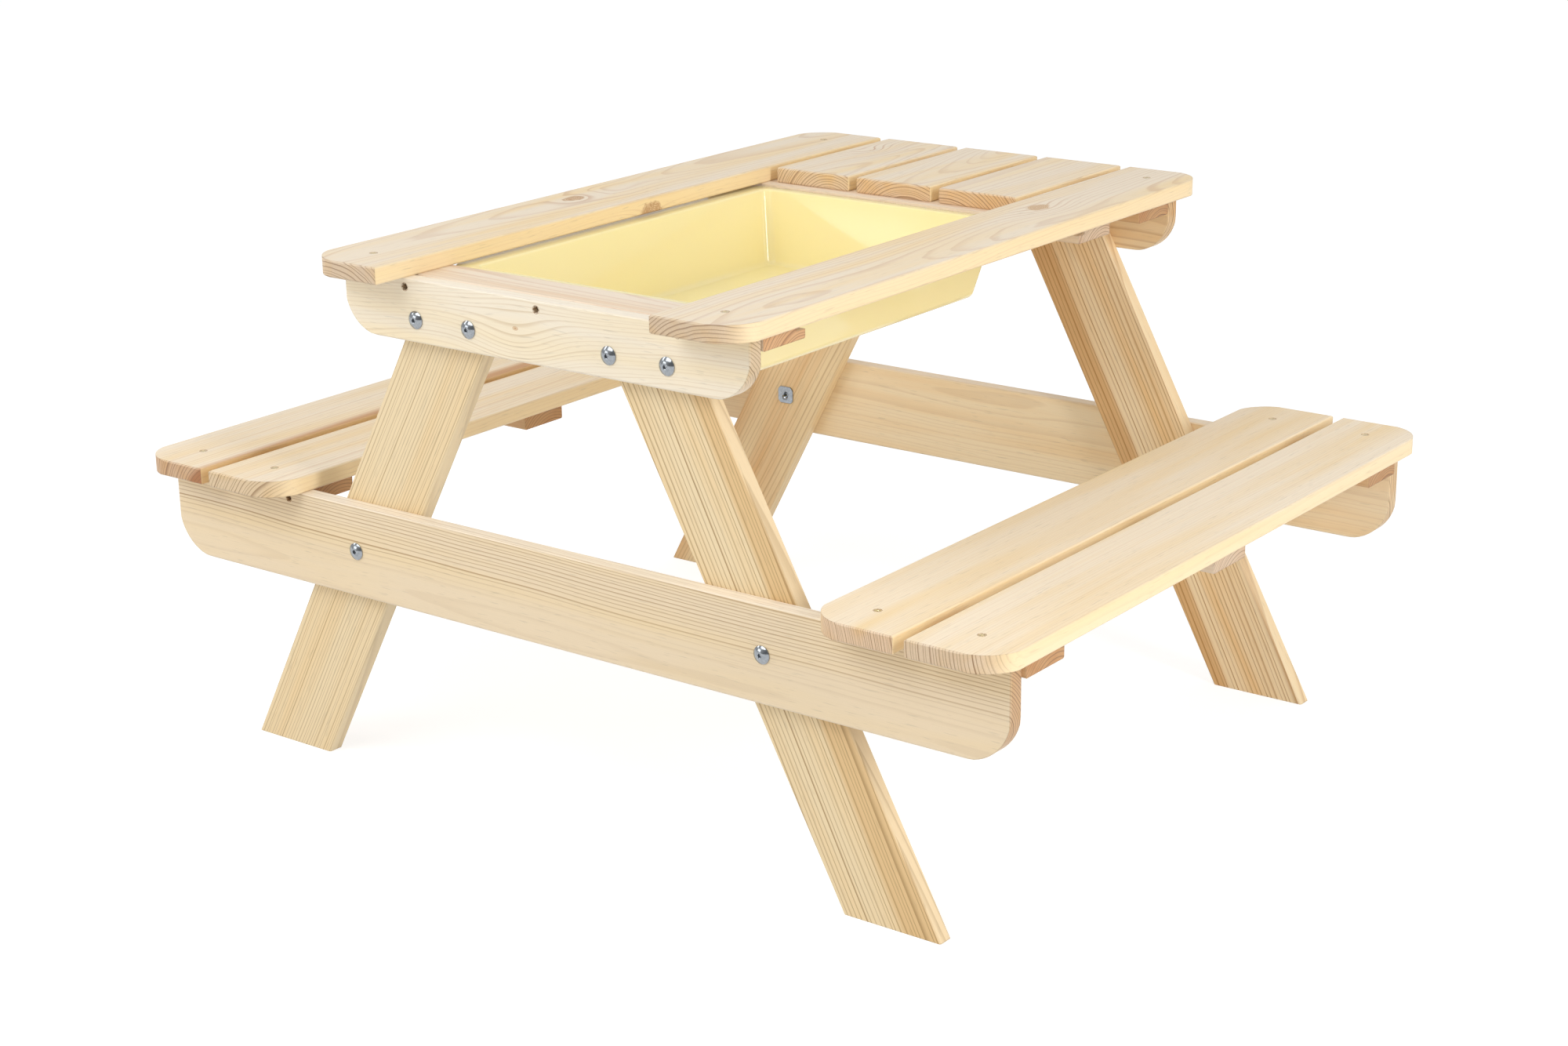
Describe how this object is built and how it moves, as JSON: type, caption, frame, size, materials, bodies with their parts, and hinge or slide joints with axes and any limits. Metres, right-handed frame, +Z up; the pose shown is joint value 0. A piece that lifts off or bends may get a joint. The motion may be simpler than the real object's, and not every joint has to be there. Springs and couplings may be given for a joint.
{
  "type": "picnic table with sand tray",
  "caption": "Low wooden picnic table for children with a bench on each long side, splayed legs and a slide-out sand tray hung in the top.",
  "frame": {"origin": "on the floor under the middle of the table, at the bottom centre of the bounding box", "axes": "+X across the table from the left bench to the right bench, +Y along the planks towards the closed end behind the tray, +Z up"},
  "size_m": [1, 0.78, 0.517],
  "materials": {
    "pine_planks": "planed, untreated softwood with eased edges",
    "pine_frame": "planed, untreated softwood",
    "tray_plastic": "smooth, glossy moulded plastic",
    "zinc_steel": "bright zinc plated"
  },
  "bodies": {
    "table": {"left_top_plank": "pine_planks", "left_short_plank": "pine_planks", "middle_short_plank": "pine_planks", "right_short_plank": "pine_planks", "right_top_plank": "pine_planks", "left_bench_inner_plank": "pine_planks", "left_bench_outer_plank": "pine_planks", "right_bench_inner_plank": "pine_planks", "right_bench_outer_plank": "pine_planks", "near_apron": "pine_frame", "far_apron": "pine_frame", "near_seat_beam": "pine_frame", "far_seat_beam": "pine_frame", "near_left_leg": "pine_frame", "near_right_leg": "pine_frame", "far_left_leg": "pine_frame", "far_right_leg": "pine_frame", "near_top_batten": "pine_frame", "middle_top_batten": "pine_frame", "far_top_batten": "pine_frame", "left_bench_near_batten": "pine_frame", "left_bench_middle_batten": "pine_frame", "left_bench_far_batten": "pine_frame", "right_bench_near_batten": "pine_frame", "right_bench_middle_batten": "pine_frame", "right_bench_far_batten": "pine_frame", "apron_bolts": "zinc_steel", "seat_beam_bolts": "zinc_steel", "apron_tee_nuts": "zinc_steel", "seat_beam_tee_nuts": "zinc_steel", "top_plank_screws": "zinc_steel", "bench_plank_screws": "zinc_steel", "apron_screws": "zinc_steel", "seat_beam_screws": "zinc_steel", "top_batten_screws": "zinc_steel", "bench_batten_screws": "zinc_steel"},
    "tray": {"sand_tray": "tray_plastic"}
  },
  "joints": [
    {"name": "tray_slide", "type": "slide", "parent": "table", "child": "tray", "axis": [1, 0, 0], "range_m": [0, 0.42]}
  ]
}
